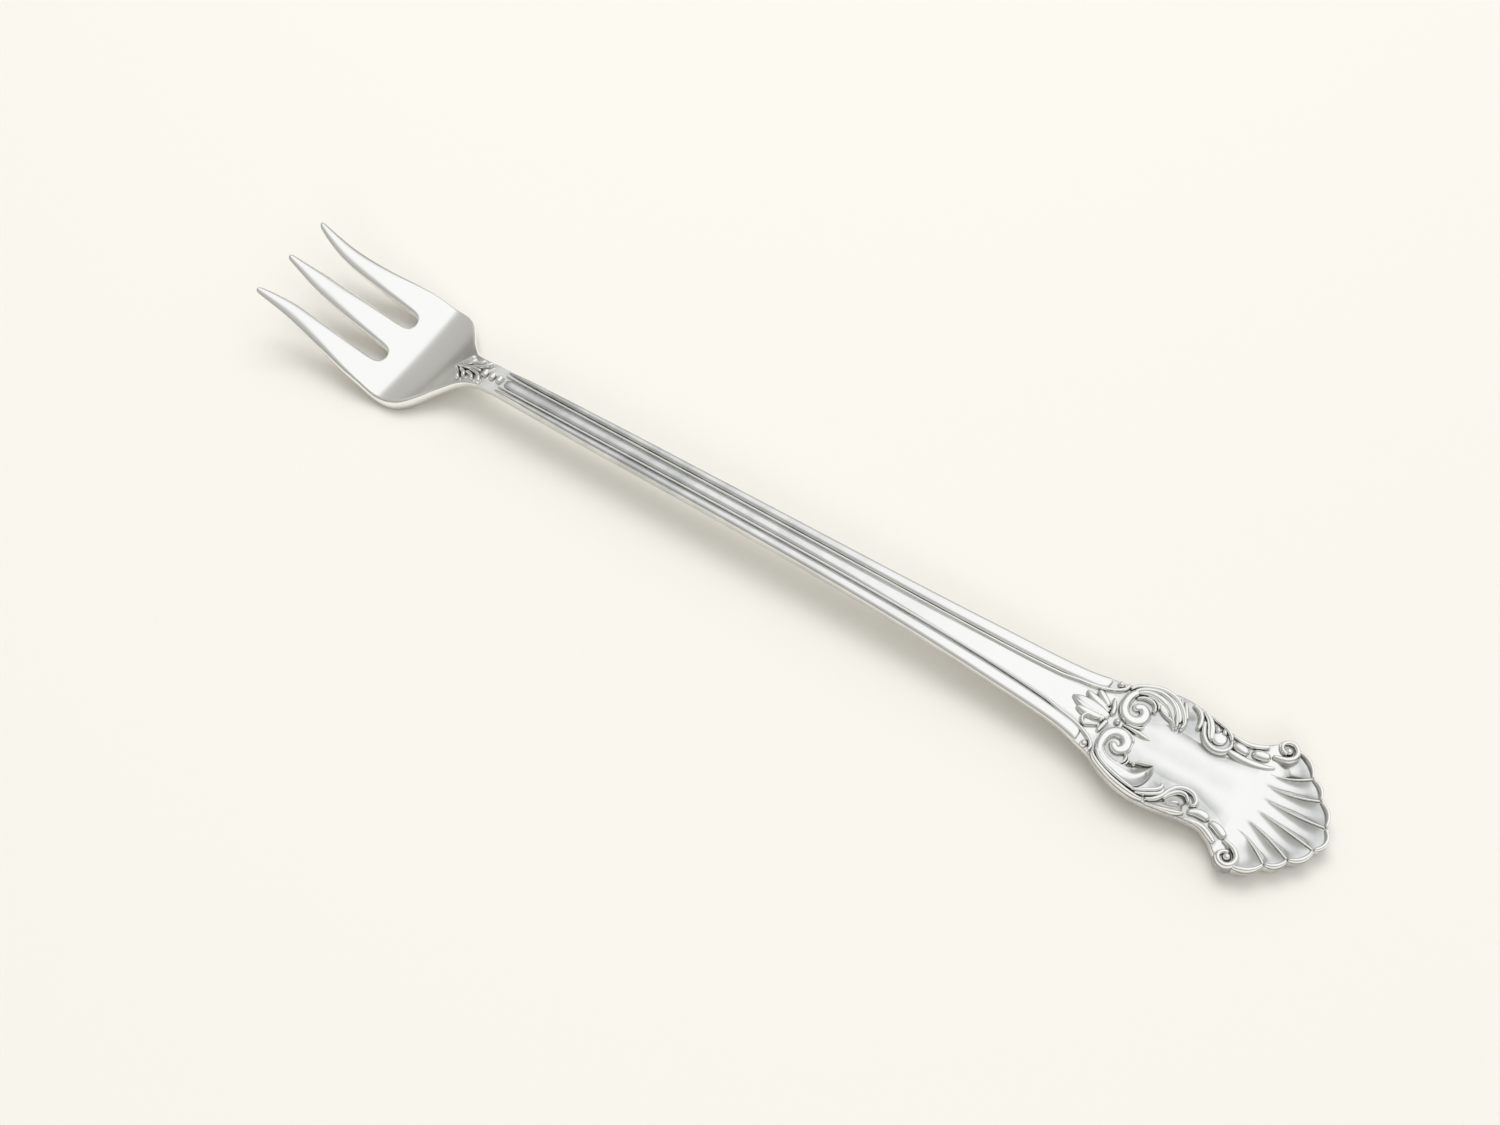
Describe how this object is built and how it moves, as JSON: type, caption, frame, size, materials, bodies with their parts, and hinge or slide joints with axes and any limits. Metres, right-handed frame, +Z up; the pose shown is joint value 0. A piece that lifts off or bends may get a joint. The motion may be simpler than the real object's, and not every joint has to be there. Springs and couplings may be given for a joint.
{
  "type": "oyster fork",
  "caption": "Small seafood fork: short upswept tines, slim reeded stem and a struck scroll-and-shell handle end in bright silver.",
  "frame": {"origin": "centre of the fork's plan box, on the plane it rests on", "axes": "+X along the fork towards the tine tips, +Y to the left side seen from the handle with the ornament up, +Z up"},
  "size_m": [0.148, 0.018, 0.0086],
  "materials": {
    "polished_silver": "bright polished silver with fine hairline scratches",
    "struck_silver": "struck relief, bright on the high points with a grey patina left in the recesses"
  },
  "bodies": {
    "root": {"left_tine": "polished_silver", "middle_tine": "polished_silver", "right_tine": "polished_silver", "bowl": "polished_silver", "neck": "polished_silver", "neck_leaf": "struck_silver", "neck_beads": "struck_silver", "stem": "polished_silver", "flare": "polished_silver", "centre_band": "polished_silver", "left_reed": "polished_silver", "right_reed": "polished_silver", "left_fillet": "struck_silver", "right_fillet": "struck_silver", "left_reed_bead": "struck_silver", "right_reed_bead": "struck_silver", "palmette": "struck_silver", "pearl": "struck_silver", "plume": "struck_silver", "left_volute": "struck_silver", "right_volute": "struck_silver", "left_scroll": "struck_silver", "right_scroll": "struck_silver", "left_curl": "struck_silver", "right_cup": "struck_silver", "left_bead_row": "struck_silver", "right_bead_row": "struck_silver", "left_end_volute": "struck_silver", "right_end_volute": "struck_silver", "cartouche": "polished_silver", "shell": "polished_silver", "shell_ridges": "struck_silver", "shell_lip": "struck_silver"}
  },
  "joints": []
}
